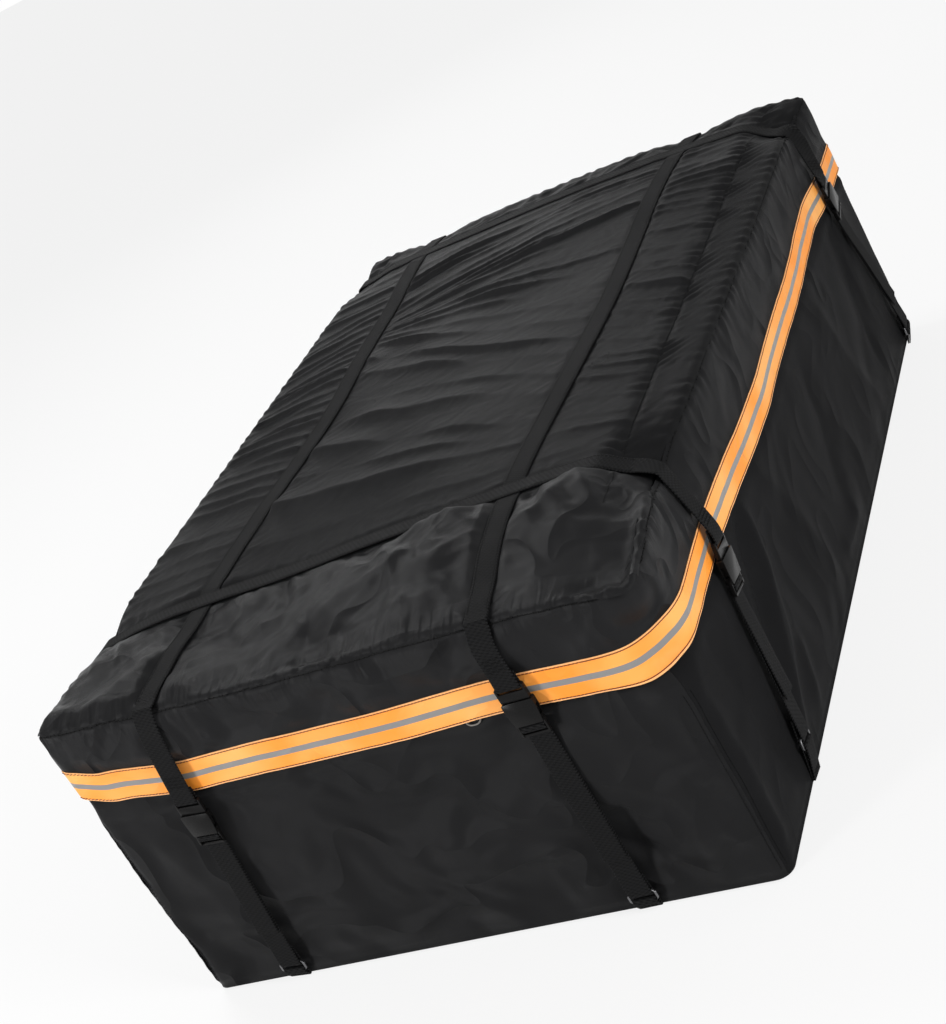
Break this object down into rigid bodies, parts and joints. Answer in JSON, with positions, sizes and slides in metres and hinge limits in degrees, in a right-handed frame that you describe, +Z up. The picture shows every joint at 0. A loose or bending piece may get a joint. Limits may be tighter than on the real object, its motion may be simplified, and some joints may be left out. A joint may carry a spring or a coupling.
{
  "type": "car cargo bag",
  "caption": "Soft black zipped roof cargo bag with an orange reflective band, webbing over-straps and side-release buckles to foot rings",
  "frame": {"origin": "centre of the bag's footprint on the rack, at the height of its lowest point", "axes": "+X to the bag's right, +Y along its length to the rear, +Z up"},
  "size_m": [0.8423, 1.332, 0.4616],
  "materials": {
    "shell_fabric": "black coated cloth with a soft satin sheen",
    "lid_fabric": "black coated cloth, finely crinkled, satin",
    "zip_tape": "black woven tape with a moulded coil",
    "band_orange": "orange reflective tape with a grey middle stripe",
    "webbing": "black ribbed webbing, matt",
    "buckle_plastic": "black moulded plastic, lightly glossy",
    "ring_wire": "light grey wire",
    "slider_metal": "dark coated cast slider",
    "cord": "pale pull cord"
  },
  "bodies": {
    "bag": {"base_panel": "shell_fabric", "wall_front": "shell_fabric", "wall_right": "shell_fabric", "wall_rear": "shell_fabric", "wall_left": "shell_fabric", "lid_panel": "lid_fabric", "lid_border": "lid_fabric", "zip_tape_body": "zip_tape", "zip_tape_lid": "zip_tape", "rain_flap": "lid_fabric", "reflective_band": "band_orange", "over_strap_left": "webbing", "over_strap_right": "webbing", "over_strap_front": "webbing", "over_strap_rear": "webbing", "socket_front_left": "buckle_plastic", "ring_front_left": "ring_wire", "lower_strap_front_left": "webbing", "anchor_tab_front_left": "webbing", "socket_front_right": "buckle_plastic", "ring_front_right": "ring_wire", "lower_strap_front_right": "webbing", "anchor_tab_front_right": "webbing", "socket_right_front": "buckle_plastic", "ring_right_front": "ring_wire", "lower_strap_right_front": "webbing", "anchor_tab_right_front": "webbing", "socket_right_rear": "buckle_plastic", "ring_right_rear": "ring_wire", "lower_strap_right_rear": "webbing", "anchor_tab_right_rear": "webbing", "socket_rear_right": "buckle_plastic", "ring_rear_right": "ring_wire", "lower_strap_rear_right": "webbing", "anchor_tab_rear_right": "webbing", "socket_rear_left": "buckle_plastic", "ring_rear_left": "ring_wire", "lower_strap_rear_left": "webbing", "anchor_tab_rear_left": "webbing", "socket_left_rear": "buckle_plastic", "ring_left_rear": "ring_wire", "lower_strap_left_rear": "webbing", "anchor_tab_left_rear": "webbing", "socket_left_front": "buckle_plastic", "ring_left_front": "ring_wire", "lower_strap_left_front": "webbing", "anchor_tab_left_front": "webbing"},
    "plug_front_left_body": {"plug_front_left": "buckle_plastic"},
    "plug_front_right_body": {"plug_front_right": "buckle_plastic"},
    "plug_right_front_body": {"plug_right_front": "buckle_plastic"},
    "plug_right_rear_body": {"plug_right_rear": "buckle_plastic"},
    "plug_rear_right_body": {"plug_rear_right": "buckle_plastic"},
    "plug_rear_left_body": {"plug_rear_left": "buckle_plastic"},
    "plug_left_rear_body": {"plug_left_rear": "buckle_plastic"},
    "plug_left_front_body": {"plug_left_front": "buckle_plastic"},
    "slider_a": {"zip_slider_a": "slider_metal", "pull_cord_a": "cord"},
    "slider_b": {"zip_slider_b": "slider_metal", "pull_cord_b": "cord"}
  },
  "joints": [
    {"name": "pull_plug_front_left", "type": "slide", "parent": "bag", "child": "plug_front_left_body", "axis": [0.0657, -0.0205, 0.9976], "range_m": [0, 0.035], "deforming": ["over_strap_left"]},
    {"name": "pull_plug_front_right", "type": "slide", "parent": "bag", "child": "plug_front_right_body", "axis": [-0.0202, -0.0178, 0.9996], "range_m": [0, 0.035], "deforming": ["over_strap_right"]},
    {"name": "pull_plug_right_front", "type": "slide", "parent": "bag", "child": "plug_right_front_body", "axis": [0.0212, 0.1161, 0.993], "range_m": [0, 0.035], "deforming": ["over_strap_front"]},
    {"name": "pull_plug_right_rear", "type": "slide", "parent": "bag", "child": "plug_right_rear_body", "axis": [0.0172, -0.3172, 0.9482], "range_m": [0, 0.035], "deforming": ["over_strap_rear"]},
    {"name": "pull_plug_rear_right", "type": "slide", "parent": "bag", "child": "plug_rear_right_body", "axis": [0, 0.0193, 0.9998], "range_m": [0, 0.035], "deforming": ["over_strap_right"]},
    {"name": "pull_plug_rear_left", "type": "slide", "parent": "bag", "child": "plug_rear_left_body", "axis": [0, 0.0198, 0.9998], "range_m": [0, 0.035], "deforming": ["over_strap_left"]},
    {"name": "pull_plug_left_rear", "type": "slide", "parent": "bag", "child": "plug_left_rear_body", "axis": [-0.0201, 0, 0.9998], "range_m": [0, 0.035], "deforming": ["over_strap_rear"]},
    {"name": "pull_plug_left_front", "type": "slide", "parent": "bag", "child": "plug_left_front_body", "axis": [-0.0204, 0, 0.9998], "range_m": [0, 0.035], "deforming": ["over_strap_front"]},
    {"name": "run_slider_a", "type": "slide", "parent": "bag", "child": "slider_a", "axis": [-1, 0, 0], "range_m": [0, 0.12]},
    {"name": "run_slider_b", "type": "slide", "parent": "bag", "child": "slider_b", "axis": [1, 0, 0], "range_m": [0, 0.12]}
  ]
}
